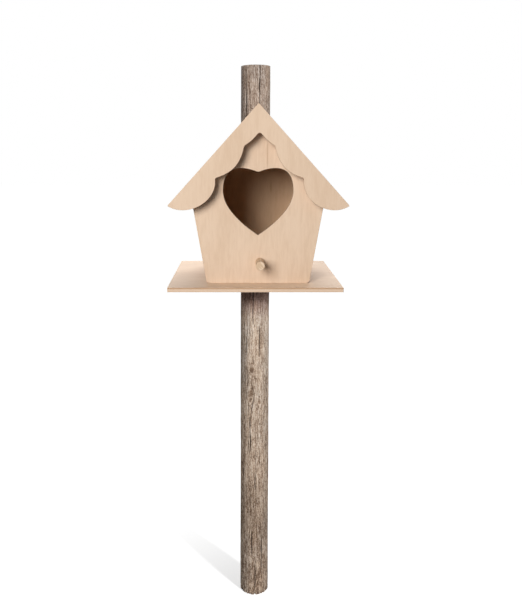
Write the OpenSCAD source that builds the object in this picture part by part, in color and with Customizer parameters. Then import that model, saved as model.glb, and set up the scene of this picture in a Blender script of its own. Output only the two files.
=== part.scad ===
// Decorative nest box on a round post.
// Units are millimetres. The post stands on z = 0 with its axis at x = y = 0, and the house faces -Y.

/* [Post] */
// Diameter of the round post
post_d = 40; // [34:1:50]
// Height of the post from its foot to its flat-cut top
post_h = 740; // [700:1:900]
// Depth of the flat cut into the front of the post, where the back wall seats
seat_depth = 2; // [1:0.5:4]
// How far the flat runs up past the ridge of the roof
seat_above_ridge = 3; // [1:1:10]

/* [Drying checks] */
// Width of the splits that opened along the post as it dried
check_w = 1.4; // [0.8:0.1:2.4]
// Depth of those splits
check_depth = 2; // [1:0.25:4]

/* [Floor board] */
// Height of the floor board's top face above the foot of the post
floor_z = 481; // [300:1:520]
// Width of the floor board, left to right
board_w = 195; // [180:1:240]
// Depth of the floor board, front to back
board_l = 195; // [185:1:230]
// Thickness of the floor board
board_t = 5; // [4:0.5:9]
// How far the board reaches back past the post's axis
board_back = 9; // [4:1:18]
// How far the board sits to the left of the house's middle, as it was nailed on
board_shift = 3.4; // [0:0.1:8]
// Gap between the floor board's notch and the round post
notch_gap = 0.3; // [0.2:0.1:1]

/* [House] */
// Thickness of the plywood walls
wall_t = 5; // [4:0.5:8]
// Width of the front wall along the floor board
house_w = 117; // [105:1:135]
// Depth of the house, from the front wall's face to the back wall's back face
house_l = 139; // [115:1:145]
// Angle at which the side walls lean outward from upright
wall_lean = 9.8; // [4:0.1:14]
// Radius of the rounded bottom corners of the front wall
corner_r = 3.5; // [1:0.5:6]

/* [Roof] */
// Height of the ridge above the floor board
ridge_h = 200.6; // [192:0.2:212]
// Angle of the roof slopes from level
roof_slope = 47.8; // [44:0.1:52]
// Length of each slope, from the ridge to the tip of the bargeboard
slope_l = 150.3; // [146:0.1:158]
// Thickness of the roof boards
roof_t = 5; // [4:0.5:7]
// How far the roof boards stop short of the bargeboard's tips
eave_setback = 4; // [2:0.5:8]
// How far the roof boards run forward of the front wall
roof_overhang = 10; // [8:0.5:16]

/* [Bargeboard] */
// Thickness of the bargeboard
trim_t = 5; // [3:0.5:9]
// Width of the bargeboard at its notches, square to the slope
trim_band = 18; // [16:0.5:23]
// Length of the first scallop along the slope, from the ridge to its notch
crown_l = 45; // [42:0.5:48]
// Length of the middle scallop along the slope, from notch to notch
scallop_l = 47.8; // [44:0.2:50]
// How far the middle scallop bulges below the line of the notches
scallop_bulge = 8; // [4:0.5:11]
// Extra bulge of the last scallop, which ends in the tip
tip_bulge = 2; // [0:0.5:6]
// Height of the bargeboard's band at the ridge, straight down from the apex
apex_band = 31.8; // [28:0.2:38]
// How far the scalloped edge sits to the right of the ridge
scallop_shift = 1.1; // [0:0.1:2.5]
// Half width of the rounded crotch under the ridge
crotch_half = 3.2; // [1:0.2:5]
// How much of each side a notch's softened corner takes
notch_r = 2; // [0.5:0.5:3]
// How much of each side a tip's softened corner takes
tip_r = 1.5; // [0.5:0.5:3]

/* [Heart] */
// Width of the heart-shaped hole
heart_w = 79; // [60:0.5:86]
// Height of the heart from its point to the top of its lobes
heart_h = 75.5; // [60:0.5:84]
// Height of the heart's point above the floor board
heart_z = 55; // [45:0.5:60]
// Depth of the cleft between the lobes
heart_cleft = 4.5; // [2:0.5:10]

/* [Perch] */
// Diameter of the dowel perch
perch_d = 10; // [8:0.5:14]
// Height of the perch's centre above the floor board
perch_z = 24.3; // [18:0.1:30]
// How far the perch's hole is drilled to the right of the middle
perch_x = 2; // [0:0.5:10]
// How far the perch sticks out from the front wall
perch_out = 30; // [20:1:45]
// How far the perch sticks into the house
perch_in = 6; // [3:1:15]

/* [Framing] */
// Width and thickness of the glue strips in the corners
strip_w = 10; // [8:0.5:12]
// Height of the floor cleats
cleat_h = 10; // [8:0.5:14]
// Half width of the ridge strip
ridge_strip_half = 8; // [6:0.5:11]
// Height of the ridge strip's square sides
ridge_strip_h = 8; // [5:0.5:12]
// Width of the battens behind the bargeboard, square to the slope
batten_w = 10; // [8:0.5:11]
// How far the battens stop short of the roof boards' lower ends
batten_short = 8; // [4:1:16]

/* [Screws] */
// Diameter of the screws into the post
screw_d = 4; // [3:0.5:5]
// Diameter of the screw heads
head_d = 8; // [7:0.5:11]
// Thickness of the screw heads
head_t = 2.5; // [2:0.25:4]
// How far the screws reach into the post
screw_in = 24; // [15:1:30]
// Height of the lower screw above the floor board
lower_screw_z = 28; // [18:1:36]
// Height of the upper screw above the floor board
upper_screw_z = 150; // [140:1:160]
// Gap round a screw in its hole
screw_gap = 0.1; // [0.05:0.05:0.3]

/* [Hidden] */

PLY = "#dfc3a6";
DOWEL = "#e6cfae";
STRIP = "#d6b48c";
WEATHERED = "#8f8175";
STEEL = "#a8a8a6";

// Straight pieces that a circle, each curve of an outline and a softened corner are drawn with
ROUND = 64;
CURVE_STEPS = 12;
CORNER_STEPS = 6;
// How far the control points of a softened corner lie towards it
CORNER_PULL = 0.6;
// How far a cut runs past the face that it opens
OVERCUT = 1;

// The heart's control points: out as a share of its half width, up or down as a share of its height
LOBE_OUT = 0.53;
LOBE_UP = 0.11;
WIDEST_UP = 0.66;
SHOULDER_UP = 0.37;
FLANK_DOWN = 0.27;
POINT_OUT = 0.38;
POINT_UP = 0.13;

// The scallops' control points: along as a share of a scallop's length, down as a share of its bulge
CROWN_BACK = 0.26;
CROWN_DOWN = 0.57;
SWELL_ALONG = 0.367;
SWELL_DOWN = 1.33;
LAST_DOWN = 2.05;
TIP_BACK = 0.08;
TIP_DOWN = 0.69;

// The main splits in the post: angle from the front towards the right, height of the middle, length
CHECKS = [
    [-42, 694, 140],
    [16, 715, 76],
    [40, 664, 64],
    [-9, 432, 76],
    [18, 374, 48],
    [-37, 373, 40],
    [-20, 241, 56],
    [-58, 186, 32],
    [2, 172, 30],
    [-12, 80, 44],
    [31, 60, 64],
    [2, 27, 46],
    [58, 300, 90],
    [72, 150, 110],
    [84, 460, 130],
    [105, 620, 120],
    [128, 250, 150],
    [150, 520, 110],
    [165, 90, 100],
    [180, 660, 120],
    [196, 330, 130],
    [215, 140, 90],
    [232, 560, 140],
    [250, 400, 80],
    [268, 240, 120],
    [282, 620, 70]];

screw_hole_d = screw_d + 2 * screw_gap;

// Where the house stands, front to back
house_back = -(post_d / 2 - seat_depth);
house_front = house_back - house_l;
trim_back = house_front - roof_overhang;
board_rear = board_back;
board_front = board_rear - board_l;

// The roof's underside, measured down from the ridge
ridge_z = floor_z + ridge_h;
under_ridge_z = ridge_z - roof_t / cos(roof_slope);

// A point of the roof from its distance along the slope and its distance in from the top face
function roof_point(along, inward) = [
    along * cos(roof_slope) - inward * sin(roof_slope),
    ridge_z - along * sin(roof_slope) - inward * cos(roof_slope)];

// Height of the roof's underside at a distance x from the middle
function roof_under(x) = under_ridge_z - x * tan(roof_slope);

// The leaning line of a side wall, moved inward by a distance square to the wall
function lean_x(inset, h) = house_w / 2 - inset / cos(wall_lean) + h * tan(wall_lean);

// Height above the floor board at which that line meets the roof's underside
function lean_top(inset) =
    (under_ridge_z - floor_z - lean_x(inset, 0) * tan(roof_slope))
    / (1 + tan(wall_lean) * tan(roof_slope));

// The points of a cubic curve between its two ends, from its four control points
function inner_curve(p, steps) = [for (i = [1 : steps - 1]) let (t = i / steps)
    pow(1 - t, 3) * p[0] + 3 * pow(1 - t, 2) * t * p[1] + 3 * (1 - t) * t * t * p[2] + t * t * t * p[3]];

// A unit vector
function unit(v) = v / norm(v);

// A corner softened by a curve, from the points before and after it and how much of each side is lost
function softened(before, corner, after, r) =
    let (
        a = corner + r * unit(before - corner),
        b = corner + r * unit(after - corner),
        pulled = [a, a + (corner - a) * CORNER_PULL, b + (corner - b) * CORNER_PULL, b])
    concat([a], inner_curve(pulled, CORNER_STEPS), [b]);

// The mirror image of half an outline, run through backwards
function turned_over(half) = [for (i = [len(half) - 1 : -1 : 0]) [-half[i][0], half[i][1]]];

// Half an outline and its mirror image, joined into one
function mirrored(half) = concat(half, turned_over(half));

// A board that stands across the house: its outline is drawn from the front, and it runs forward
module upright(back, thick) {
    translate([0, back, 0])
        rotate([90, 0, 0])
            linear_extrude(thick)
                children();
}

// The same on the left-hand side
module to_left() {
    mirror([1, 0, 0]) children();
}

// The gabled outline that both end walls share, with softened bottom corners
module gable_outline(r) {
    foot = [lean_x(0, 0), floor_z];
    eave = [lean_x(0, lean_top(0)), floor_z + lean_top(0)];
    polygon(mirrored(concat(softened([0, floor_z], foot, eave, r), [eave], [[0, under_ridge_z]])));
}

// The heart-shaped hole, drawn as two curves a side
module heart_outline() {
    half = heart_w / 2;
    point = [0, floor_z + heart_z];
    widest = point + [half, heart_h * WIDEST_UP];
    cleft = point + [0, heart_h - heart_cleft];
    lobe = inner_curve([
        cleft,
        cleft + [half * LOBE_OUT, heart_h * LOBE_UP],
        widest + [0, heart_h * SHOULDER_UP],
        widest], CURVE_STEPS);
    flank = inner_curve([
        widest,
        widest - [0, heart_h * FLANK_DOWN],
        point + [half * POINT_OUT, heart_h * POINT_UP],
        point], CURVE_STEPS);
    polygon(mirrored(concat([cleft], lobe, [widest], flank, [point])));
}

// A strip or wall that leans with the sides, between two distances in from their outer face
module leaning_outline(outer, inner) {
    polygon([
        [lean_x(outer, 0), floor_z],
        [lean_x(outer, lean_top(outer)), floor_z + lean_top(outer)],
        [lean_x(inner, lean_top(inner)), floor_z + lean_top(inner)],
        [lean_x(inner, 0), floor_z]]);
}

// One slope of a board that follows the roof, between two depths below its top face
module slope_outline(upper, lower, length) {
    polygon([
        [0, ridge_z - upper / cos(roof_slope)],
        roof_point(length, upper),
        roof_point(length, lower),
        [0, ridge_z - lower / cos(roof_slope)]]);
}

// A split along the post: its mouth is pointed at both ends
module drying_check(angle, middle, length) {
    rotate([0, 0, angle])
        translate([0, 0, middle])
            upright(check_depth - post_d / 2, check_depth + OVERCUT)
                polygon([[0, -length / 2], [check_w / 2, 0], [0, length / 2], [-check_w / 2, 0]]);
}

// The round stake with its splits, a flat for the back wall and holes for the two screws
module post() {
    color(WEATHERED)
        difference() {
            cylinder(h = post_h, d = post_d, $fn = ROUND);
            translate([-post_d / 2, -post_d / 2 - OVERCUT, floor_z])
                cube([post_d, seat_depth + OVERCUT, ridge_h + seat_above_ridge]);
            for (z = [lower_screw_z, upper_screw_z])
                translate([0, house_back - OVERCUT, floor_z + z])
                    rotate([-90, 0, 0])
                        cylinder(h = screw_in + screw_gap + OVERCUT, d = screw_hole_d, $fn = ROUND);
            for (check = CHECKS)
                drying_check(check[0], check[1], check[2]);
        }
}

// The square board under the house, notched round the post from its back edge
module floor_board() {
    notch_d = post_d + 2 * notch_gap;
    color(PLY)
        difference() {
            translate([-board_w / 2 - board_shift, board_front, floor_z - board_t])
                cube([board_w, board_l, board_t]);
            translate([0, 0, floor_z - board_t - OVERCUT])
                cylinder(h = board_t + 2 * OVERCUT, d = notch_d, $fn = ROUND);
            translate([-notch_d / 2, 0, floor_z - board_t - OVERCUT])
                cube([notch_d, board_rear + OVERCUT, board_t + 2 * OVERCUT]);
        }
}

// The gabled front with its heart and the hole that holds the perch
module front_wall() {
    color(PLY)
        difference() {
            upright(house_front + wall_t, wall_t)
                difference() {
                    gable_outline(corner_r);
                    heart_outline();
                }
            translate([perch_x, house_front - OVERCUT, floor_z + perch_z])
                rotate([-90, 0, 0])
                    cylinder(h = wall_t + 2 * OVERCUT, d = perch_d, $fn = ROUND);
        }
}

// The plain gabled back, with clearance holes for the screws
module back_wall() {
    color(PLY)
        difference() {
            upright(house_back, wall_t) gable_outline(corner_r);
            for (z = [lower_screw_z, upper_screw_z])
                translate([0, house_back - wall_t - OVERCUT, floor_z + z])
                    rotate([-90, 0, 0])
                        cylinder(h = wall_t + 2 * OVERCUT, d = screw_hole_d, $fn = ROUND);
        }
}

// A side that leans outward between the gables, bevelled to the floor and the roof
module right_wall() {
    color(PLY)
        upright(house_back - wall_t, house_l - 2 * wall_t)
            leaning_outline(0, wall_t);
}

module left_wall() {
    to_left() right_wall();
}

// A roof slope, mitred at the ridge, that covers the walls and runs out to the bargeboard
module right_roof_board() {
    color(PLY)
        upright(house_back, house_l + roof_overhang)
            slope_outline(0, roof_t, slope_l - eave_setback);
}

module left_roof_board() {
    to_left() right_roof_board();
}

// Half of the bargeboard: from the crotch along the scallops, which the shift moves aside, to the tip
function bargeboard_half(shift) =
    let (
        aside = [shift, 0],
        apex = [0, ridge_z],
        crotch = apex - [0, apex_band] + aside,
        second_l = crown_l + scallop_l,
        notch_1 = roof_point(crown_l, trim_band) + aside,
        notch_2 = roof_point(second_l, trim_band) + aside,
        tip = roof_point(slope_l, 0),
        swell = SWELL_ALONG * scallop_l,
        middle_depth = trim_band + SWELL_DOWN * scallop_bulge,
        last_bulge = scallop_bulge + tip_bulge,
        first = inner_curve([
            crotch,
            crotch + [crotch_half, 0],
            roof_point(crown_l - CROWN_BACK * crown_l, trim_band + CROWN_DOWN * scallop_bulge) + aside,
            notch_1], CURVE_STEPS),
        middle = inner_curve([
            notch_1,
            roof_point(crown_l + swell, middle_depth) + aside,
            roof_point(second_l - swell, middle_depth) + aside,
            notch_2], CURVE_STEPS),
        last = inner_curve([
            notch_2,
            roof_point(second_l + swell, trim_band + LAST_DOWN * last_bulge) + aside,
            roof_point(slope_l - TIP_BACK * scallop_l, trim_band + TIP_DOWN * last_bulge),
            tip], CURVE_STEPS),
        end = CURVE_STEPS - 2)
    concat(
        [crotch],
        first,
        softened(first[end], notch_1, middle[0], notch_r),
        middle,
        softened(middle[end], notch_2, last[0], notch_r),
        last,
        softened(last[end], tip, apex, tip_r));

// The one-piece inverted V at the front, with three scallops a side
module bargeboard() {
    right = bargeboard_half(scallop_shift);
    left = bargeboard_half(-scallop_shift);
    color(PLY)
        upright(trim_back, trim_t)
            polygon(concat(right, [[0, ridge_z]], turned_over(left)));
}

// The round dowel through the front wall
module perch() {
    color(DOWEL)
        translate([perch_x, house_front - perch_out, floor_z + perch_z])
            rotate([-90, 0, 0])
                cylinder(h = perch_out + wall_t + perch_in, d = perch_d, $fn = ROUND);
}

// The strip that joins the two roof boards along the ridge, between the gables
module ridge_strip() {
    shoulder = roof_under(ridge_strip_half);
    color(STRIP)
        upright(house_back - wall_t, house_l - 2 * wall_t)
            polygon([
                [0, under_ridge_z],
                [ridge_strip_half, shoulder],
                [ridge_strip_half, shoulder - ridge_strip_h],
                [-ridge_strip_half, shoulder - ridge_strip_h],
                [-ridge_strip_half, shoulder]]);
}

// A strip in the corner between a side and an end wall
module corner_strip(back) {
    color(STRIP)
        upright(back, strip_w)
            leaning_outline(wall_t, wall_t + strip_w);
}

module front_right_strip() {
    corner_strip(house_front + wall_t + strip_w);
}

module front_left_strip() {
    to_left() front_right_strip();
}

module back_right_strip() {
    corner_strip(house_back - wall_t);
}

module back_left_strip() {
    to_left() back_right_strip();
}

// A cleat along the foot of a side, between the corner strips
module right_floor_cleat() {
    color(STRIP)
        upright(house_back - wall_t - strip_w, house_l - 2 * wall_t - 2 * strip_w)
            polygon([
                [lean_x(wall_t, 0), floor_z],
                [lean_x(wall_t, cleat_h), floor_z + cleat_h],
                [lean_x(wall_t + strip_w, 0), floor_z + cleat_h],
                [lean_x(wall_t + strip_w, 0), floor_z]]);
}

module left_floor_cleat() {
    to_left() right_floor_cleat();
}

// A batten under the roof's front edge, which the bargeboard is fixed to
module right_trim_batten() {
    color(STRIP)
        upright(house_front, roof_overhang)
            slope_outline(roof_t, roof_t + batten_w, slope_l - eave_setback - batten_short);
}

module left_trim_batten() {
    to_left() right_trim_batten();
}

// A screw from inside the house, through the back wall into the post
module mount_screw(z) {
    color(STEEL)
        translate([0, house_back - wall_t, floor_z + z])
            rotate([-90, 0, 0]) {
                cylinder(h = wall_t + screw_in, d = screw_d, $fn = ROUND);
                translate([0, 0, -head_t])
                    cylinder(h = head_t, d = head_d, $fn = ROUND);
            }
}

module upper_screw() {
    mount_screw(upper_screw_z);
}

module lower_screw() {
    mount_screw(lower_screw_z);
}

post();
floor_board();
front_wall();
back_wall();
left_wall();
right_wall();
left_roof_board();
right_roof_board();
bargeboard();
perch();
ridge_strip();
front_left_strip();
front_right_strip();
back_left_strip();
back_right_strip();
left_floor_cleat();
right_floor_cleat();
left_trim_batten();
right_trim_batten();
upper_screw();
lower_screw();
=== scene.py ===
# %% [markdown]
# # A plywood nest box on a weathered stake
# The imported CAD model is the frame: it says where every piece is, in metres, with the stake's foot at
# the origin, +Z up and the front of the house towards -Y. This file gives the pieces their looks.
# Each piece is built where the frame says it is, and checked against the frame's own boxes.

# %% Load the frame
import math

import bpy
import numpy as np
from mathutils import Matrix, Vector


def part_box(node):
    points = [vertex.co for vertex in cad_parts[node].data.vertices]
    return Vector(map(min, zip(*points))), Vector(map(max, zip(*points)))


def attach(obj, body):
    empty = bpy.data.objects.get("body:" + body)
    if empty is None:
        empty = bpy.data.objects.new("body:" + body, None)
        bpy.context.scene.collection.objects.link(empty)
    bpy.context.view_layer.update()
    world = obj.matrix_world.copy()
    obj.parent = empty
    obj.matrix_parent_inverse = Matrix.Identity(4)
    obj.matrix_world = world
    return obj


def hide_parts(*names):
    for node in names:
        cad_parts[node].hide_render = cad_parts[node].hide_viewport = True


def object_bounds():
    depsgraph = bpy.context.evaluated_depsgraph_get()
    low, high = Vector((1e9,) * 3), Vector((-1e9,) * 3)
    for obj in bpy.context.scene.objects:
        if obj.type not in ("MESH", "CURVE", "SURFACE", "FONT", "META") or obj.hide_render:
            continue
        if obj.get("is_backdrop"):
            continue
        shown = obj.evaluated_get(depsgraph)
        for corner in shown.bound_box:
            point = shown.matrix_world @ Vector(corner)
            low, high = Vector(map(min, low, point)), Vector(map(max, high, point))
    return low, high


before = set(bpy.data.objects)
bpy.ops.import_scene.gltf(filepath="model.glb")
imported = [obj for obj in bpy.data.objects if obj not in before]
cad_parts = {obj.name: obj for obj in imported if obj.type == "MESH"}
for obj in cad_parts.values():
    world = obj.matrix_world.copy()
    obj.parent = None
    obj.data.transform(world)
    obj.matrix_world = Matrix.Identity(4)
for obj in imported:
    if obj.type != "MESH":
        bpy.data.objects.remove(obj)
cad_low, cad_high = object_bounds()
print("CAD nodes:", len(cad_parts), "box:", tuple(cad_low), tuple(cad_high))

# %% [markdown]
# ## The maker's sizes
# A cutting list is what a joiner works from: sheet thickness, slopes, the scallops' lengths. The same
# list is written here once, in millimetres, as in the CAD source, and places along x, y and z are read
# from the frame's boxes. Writing the outlines again from the list, and not copying the CAD mesh, lets
# the curves be finer and the edges softened.

# %% The maker's sizes
MM = 0.001

# The walls: their sheet, the width along the floor board, the outward lean, the front's foot corners
wall_t = 5.0
house_w = 117.0
wall_lean = math.radians(9.8)
corner_r = 3.5

# The roof: its slope, the length from the ridge to a tip, its sheet, how far it stops short of the tips
roof_slope = math.radians(47.8)
slope_l = 150.3
roof_t = 5.0
eave_setback = 4.0

# The bargeboard: its band at the notches and at the ridge, its scallops, its crotch, notches and tips
trim_band = 18.0
apex_band = 31.8
crown_l = 45.0
scallop_l = 47.8
scallop_bulge = 8.0
tip_bulge = 2.0
scallop_shift = 1.1
crotch_half = 3.2
notch_r = 2.0
tip_r = 1.5

# The heart: width, height, its point above the floor board, the cleft between its lobes
heart_w = 79.0
heart_h = 75.5
heart_z = 55.0
heart_cleft = 4.5

# The gap between the floor board's notch and the stake
notch_gap = 0.3

print("sheet", wall_t, "mm, house", house_w, "mm wide, roof slope", round(math.degrees(roof_slope), 1))

# %% Heights from the frame
floor_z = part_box("floor_board")[1].z / MM
ridge_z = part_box("bargeboard")[1].z / MM
post_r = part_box("post")[1].x / MM
post_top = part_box("post")[1].z / MM
under_ridge_z = ridge_z - roof_t / math.cos(roof_slope)
print("floor board top", round(floor_z, 1), "ridge", round(ridge_z, 1), "stake", round(post_r * 2, 1))

# %% [markdown]
# ## The camera
# A camera that stands level with the roof, tilts down a little and is shifted a little keeps the stake
# nearly upright in the picture. Its place comes from the object's own box, so that it follows a change
# of size.

# %% The camera
house_height = floor_z * MM
eye_above_floor = 0.1491
eye_back = 0.7649
eye_left = 0.0200
tilt_down = math.radians(8.52)

camera_data = bpy.data.cameras.new("camera")
camera_data.sensor_width = 36.0
camera_data.sensor_fit = "AUTO"
camera_data.lens = 41.59
camera_data.shift_x = 0.0337
camera_data.shift_y = -0.080
camera_data.clip_start = 0.01
camera_data.clip_end = 100

camera = bpy.data.objects.new("camera", camera_data)
camera.location = (-eye_left, cad_low.y - eye_back, house_height + eye_above_floor)
camera.rotation_euler = (math.radians(90) - tilt_down, 0, 0)
bpy.context.scene.collection.objects.link(camera)
bpy.context.scene.camera = camera
bpy.context.scene.view_settings.view_transform = "Standard"
print("camera at", tuple(round(v, 3) for v in camera.location))

# %% [markdown]
# ## A small kit for materials
# A material could be wired by hand in the node editor, but a script shows every number. All wood here
# is drawn with noise that is stretched along the grain, so the recipes need only a few nodes: a noise,
# a ramp that turns it into a colour or a mask, and some arithmetic. A short helper for each keeps the
# recipes readable.

# %% Trees, sockets and attributes
def node_in(tree, kind, **values):
    """A node of one kind in a tree, with its properties set by name."""
    made = tree.nodes.new(kind)
    for name, value in values.items():
        setattr(made, name, value)
    return made


def new_material(name):
    """An empty node material, and the tree to build it in."""
    material = bpy.data.materials.new(name)
    material.use_nodes = True
    material.node_tree.nodes.clear()
    return material, material.node_tree


def wire(tree, source, socket):
    """Joins an output, or sets a plain value, to an input."""
    if hasattr(source, "is_output"):
        tree.links.new(source, socket)
    else:
        socket.default_value = source


def wire_colour(tree, source, socket):
    """The same for a colour, which is given as red, green and blue where it is plain."""
    wire(tree, (*source, 1) if isinstance(source, tuple) else source, socket)


def object_place(tree):
    """Each point's place in the object's own metres."""
    return node_in(tree, "ShaderNodeTexCoord").outputs["Object"]


def own_vector(tree, name):
    """The vector that a piece carries at each point under a name."""
    return node_in(tree, "ShaderNodeAttribute", attribute_name=name).outputs["Vector"]


def split(tree, vector):
    """A vector's three parts, by the names X, Y and Z."""
    node = node_in(tree, "ShaderNodeSeparateXYZ")
    tree.links.new(vector, node.inputs[0])
    return node.outputs


print("tree helpers ready")

# %% Noise, ramps and arithmetic
def noise(tree, vector, scale, detail=3.0, rough=0.5, distort=0.0, shift=(0, 0, 0)):
    """Soft random values from 0 to 1, read at the vector once it is scaled and shifted.

    The scale is about the number of blotches in a metre along each axis, so a small one draws them
    out. Detail adds finer ones over them, rough says how strong those are, and distort bends them.
    """
    placed = node_in(tree, "ShaderNodeMapping")
    tree.links.new(vector, placed.inputs["Vector"])
    placed.inputs["Scale"].default_value = scale
    placed.inputs["Location"].default_value = shift
    node = node_in(tree, "ShaderNodeTexNoise")
    tree.links.new(placed.outputs["Vector"], node.inputs["Vector"])
    node.inputs["Scale"].default_value = 1.0
    node.inputs["Detail"].default_value = detail
    node.inputs["Roughness"].default_value = rough
    node.inputs["Distortion"].default_value = distort
    return node.outputs["Fac"]


def calc(tree, operation, a, b=0.0, c=0.0):
    """One step of arithmetic on values."""
    node = node_in(tree, "ShaderNodeMath", operation=operation)
    for socket, source in zip(node.inputs, (a, b, c)):
        wire(tree, source, socket)
    return node.outputs[0]


def product(tree, a, b):
    """Two values multiplied."""
    return calc(tree, "MULTIPLY", a, b)


def mixture(tree, *parts):
    """A sum of values, each times its share."""
    total = 0.0
    for value, share in reversed(parts):
        total = calc(tree, "MULTIPLY_ADD", value, share, total)
    return total


def fade(tree, value, low, high, out_low=0.0, out_high=1.0):
    """Follows a value smoothly from out_low, where it is low, to out_high, where it is high."""
    node = node_in(tree, "ShaderNodeMapRange", interpolation_type="SMOOTHSTEP")
    wire(tree, value, node.inputs["Value"])
    for name, number in (("From Min", low), ("From Max", high), ("To Min", out_low), ("To Max", out_high)):
        node.inputs[name].default_value = number
    return node.outputs["Result"]


def fall(tree, value, low, high):
    """The other way round: 1 where the value is low, 0 where it is high."""
    return fade(tree, value, low, high, 1.0, 0.0)


def band(tree, value, begin, full, still_full, end):
    """Rises from 0 at begin to 1 at full, and falls again from still_full to end."""
    return product(tree, fade(tree, value, begin, full), fall(tree, value, still_full, end))


print("value helpers ready")

# %% Colours and the finish
def ramp(tree, value, stops):
    """A colour for each value: stops are (position, (r, g, b)) in linear light."""
    node = node_in(tree, "ShaderNodeValToRGB")
    tree.links.new(value, node.inputs["Fac"])
    for _ in range(len(stops) - 2):
        node.color_ramp.elements.new(0.5)
    for element, (position, colour) in zip(node.color_ramp.elements, stops):
        element.position = position
        element.color = (*colour, 1)
    return node.outputs["Color"]


def blend(tree, factor, a, b, kind="MIX"):
    """Two colours mixed by a factor, or blended in another way."""
    node = node_in(tree, "ShaderNodeMix", data_type="RGBA", blend_type=kind)
    first, second = (socket for socket in node.inputs if socket.type == "RGBA")
    wire(tree, factor, node.inputs["Factor"])
    wire_colour(tree, a, first)
    wire_colour(tree, b, second)
    return next(socket for socket in node.outputs if socket.type == "RGBA")


def tint(tree, factor, colour, by):
    """A colour multiplied by another, as far as the factor says."""
    return blend(tree, factor, colour, by, "MULTIPLY")


def finish_material(tree, colour, height, roughness, strength, distance, specular, metallic=0.0):
    """Puts colour, roughness, specular level and a bump that follows a height into one shader."""
    shader = node_in(tree, "ShaderNodeBsdfPrincipled")
    wire_colour(tree, colour, shader.inputs["Base Color"])
    wire(tree, roughness, shader.inputs["Roughness"])
    shader.inputs["Specular IOR Level"].default_value = specular
    shader.inputs["Metallic"].default_value = metallic
    bump = node_in(tree, "ShaderNodeBump")
    bump.inputs["Strength"].default_value = strength
    bump.inputs["Distance"].default_value = distance
    tree.links.new(height, bump.inputs["Height"])
    tree.links.new(bump.outputs["Normal"], shader.inputs["Normal"])
    out = node_in(tree, "ShaderNodeOutputMaterial")
    tree.links.new(shader.outputs[0], out.inputs["Surface"])


print("material kit ready")

# %% [markdown]
# ## Sky and floor
# The floor and the sky should look white, yet throw no more light on the object than pale paper in a dim
# room. Brighter lamps would wash the wood out instead. So Light Path tells the rays apart: seen straight
# on, in a mirror or through glass, sky and floor are white, and for every other ray they are plain.
# The floor still takes the object's shadow, because its glow is only added to the light that falls on it.

# %% One look for light, one for the eye
def seen_straight_on(tree):
    """1 for a ray from the camera, or by way of a mirror or glass, and 0 for one that only carries light."""
    path = node_in(tree, "ShaderNodeLightPath")
    seen = path.outputs["Is Camera Ray"]
    for ray in ("Is Glossy Ray", "Is Transmission Ray"):
        seen = calc(tree, "MAXIMUM", seen, path.outputs[ray])
    return seen


def two_looks(tree, plain, shown, output):
    """Sends one shader to the rays that carry light and another to those that see."""
    choose = node_in(tree, "ShaderNodeMixShader")
    tree.links.new(seen_straight_on(tree), choose.inputs[0])
    tree.links.new(plain.outputs[0], choose.inputs[1])
    tree.links.new(shown.outputs[0], choose.inputs[2])
    tree.links.new(choose.outputs[0], output.inputs["Surface"])


def one_colour(tree, kind, colour):
    """A shader of one plain colour."""
    shader = node_in(tree, kind)
    shader.inputs["Color"].default_value = (*colour, 1)
    return shader


print("two looks ready")

# %% The sky
SKY = (1.0, 0.985, 0.965)
SKY_STRENGTH = 0.02
WHITE = (1, 1, 1)

world = bpy.data.worlds.new("pale_sky")
bpy.context.scene.world = world
world.use_nodes = True
sky = world.node_tree
sky.nodes.clear()
dim_sky = one_colour(sky, "ShaderNodeBackground", SKY)
dim_sky.inputs["Strength"].default_value = SKY_STRENGTH
white_sky = one_colour(sky, "ShaderNodeBackground", WHITE)
two_looks(sky, dim_sky, white_sky, node_in(sky, "ShaderNodeOutputWorld"))
print("sky strength", SKY_STRENGTH)

# %% The floor
FLOOR_HALF = 12.0
PAPER = (0.30, 0.30, 0.30)
SHOWN_PAPER = (0.80, 0.80, 0.80)
# The glow grows with the distance from the stake's foot, in metres, so that the stake's shadow fades out.
GLOW_FROM = -0.10
GLOW_FULL = 0.24
GLOW_LEAST = 0.64


def studio_paper():
    """Plain paper to the lamps' light, and paper with a glow of its own where it is seen."""
    material, tree = new_material("studio_paper")
    away = node_in(tree, "ShaderNodeVectorMath", operation="LENGTH")
    tree.links.new(object_place(tree), away.inputs[0])
    glow = one_colour(tree, "ShaderNodeEmission", WHITE)
    wire(tree, fade(tree, away.outputs["Value"], GLOW_FROM, GLOW_FULL, GLOW_LEAST), glow.inputs["Strength"])
    shown = one_colour(tree, "ShaderNodeBsdfDiffuse", SHOWN_PAPER)
    both = node_in(tree, "ShaderNodeAddShader")
    tree.links.new(shown.outputs[0], both.inputs[0])
    tree.links.new(glow.outputs[0], both.inputs[1])
    plain = one_colour(tree, "ShaderNodeBsdfDiffuse", PAPER)
    two_looks(tree, plain, both, node_in(tree, "ShaderNodeOutputMaterial"))
    return material


floor_mesh = bpy.data.meshes.new("studio_floor")
corners = np.array([[-1, -1, 0], [1, -1, 0], [1, 1, 0], [-1, 1, 0]]) * FLOOR_HALF
floor_mesh.from_pydata(corners.tolist(), [], [(0, 1, 2, 3)])
floor_mesh.materials.append(studio_paper())
floor = bpy.data.objects.new("studio_floor", floor_mesh)
bpy.context.scene.collection.objects.link(floor)
floor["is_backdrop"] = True
print("floor", FLOOR_HALF * 2, "m wide")

# %% [markdown]
# ## Lamps
# One lamp for everything would have to be a compromise. A studio gives each subject a lamp of its own and
# keeps its light off the rest with flags. Here the house has a large warm lamp low on the left, the stake
# a wide, flat one that stands high enough for the floor board to shade its upper end, and the floor a
# small one, which draws the stake's shadow. The others light the top of the floor board, the two sides
# and the back. The flags are set at the end, when all pieces are there.

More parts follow.
